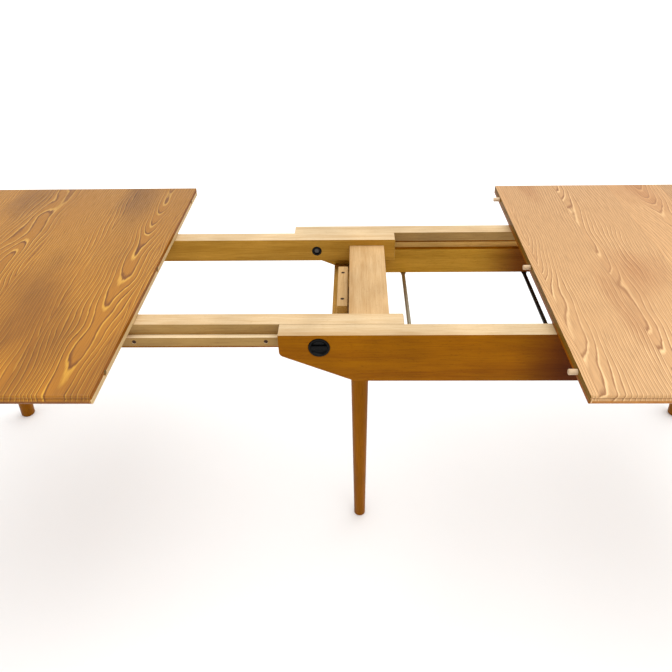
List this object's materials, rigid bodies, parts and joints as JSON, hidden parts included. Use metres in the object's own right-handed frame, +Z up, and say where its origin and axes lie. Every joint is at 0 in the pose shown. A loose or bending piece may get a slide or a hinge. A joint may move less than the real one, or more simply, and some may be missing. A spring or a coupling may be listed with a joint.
{
  "type": "extending dining table",
  "caption": "Dining table pulled open: two moulded tops on sliding beech rails, dowels for a leaf, screw locks, splayed end legs and a centre leg.",
  "frame": {"origin": "on the floor, under the centre of the open table", "axes": "+X along the table towards the half with the outer rails, +Y to the back, +Z up"},
  "size_m": [2.08, 0.8086, 0.737],
  "materials": {
    "golden_elm": "oiled and waxed, satin",
    "pale_elm": "oiled and waxed, satin",
    "oiled_beech": "oiled, satin",
    "raw_beech": "planed, unfinished",
    "bright_steel": "drawn, zinc plated",
    "black_nylon": "moulded, satin"
  },
  "bodies": {
    "right_half": {"right_top": "pale_elm", "leaf_dowels": "raw_beech", "front_outer_rail": "oiled_beech", "back_outer_rail": "oiled_beech", "right_end_bearer": "oiled_beech", "right_rail_bolts": "bright_steel", "right_barrel_nuts": "bright_steel", "right_top_screws": "bright_steel", "front_right_leg": "oiled_beech", "back_right_leg": "oiled_beech", "right_leg_studs": "bright_steel", "centre_bearer": "oiled_beech", "centre_bearer_dowels": "raw_beech", "stop_block": "raw_beech", "stop_block_screws": "bright_steel", "centre_leg": "oiled_beech", "centre_leg_bolt": "bright_steel", "inner_leaf_rod": "bright_steel", "middle_leaf_rod": "bright_steel", "outer_leaf_rod": "bright_steel", "leaf_rod_screws": "bright_steel"},
    "left_half": {"left_top": "golden_elm", "front_slide_rail": "raw_beech", "back_slide_rail": "raw_beech", "front_runner": "raw_beech", "back_runner": "raw_beech", "runner_screws": "bright_steel", "tie_plank": "raw_beech", "tie_plank_dowels": "raw_beech", "lock_collars": "black_nylon", "lock_bushes": "bright_steel", "left_end_bearer": "oiled_beech", "left_rail_bolts": "bright_steel", "left_barrel_nuts": "bright_steel", "left_top_screws": "bright_steel", "front_left_leg": "oiled_beech", "back_left_leg": "oiled_beech", "left_leg_studs": "bright_steel"},
    "front_lock": {"front_lock_knob": "black_nylon", "front_lock_stud": "bright_steel"},
    "back_lock": {"back_lock_knob": "black_nylon", "back_lock_stud": "bright_steel"}
  },
  "joints": [
    {"name": "left_half_slide", "type": "slide", "parent": "right_half", "child": "left_half", "axis": [1, 0, 0], "range_m": [-0.0026, 0.7417]},
    {"name": "front_lock_turn", "type": "hinge", "parent": "right_half", "child": "front_lock", "pos_m": [-0.0385, -0.2, 0.6903], "axis": [0, -1, 0], "continuous": true},
    {"name": "back_lock_turn", "type": "hinge", "parent": "right_half", "child": "back_lock", "pos_m": [-0.0385, 0.2, 0.6903], "axis": [0, 1, 0], "continuous": true}
  ]
}
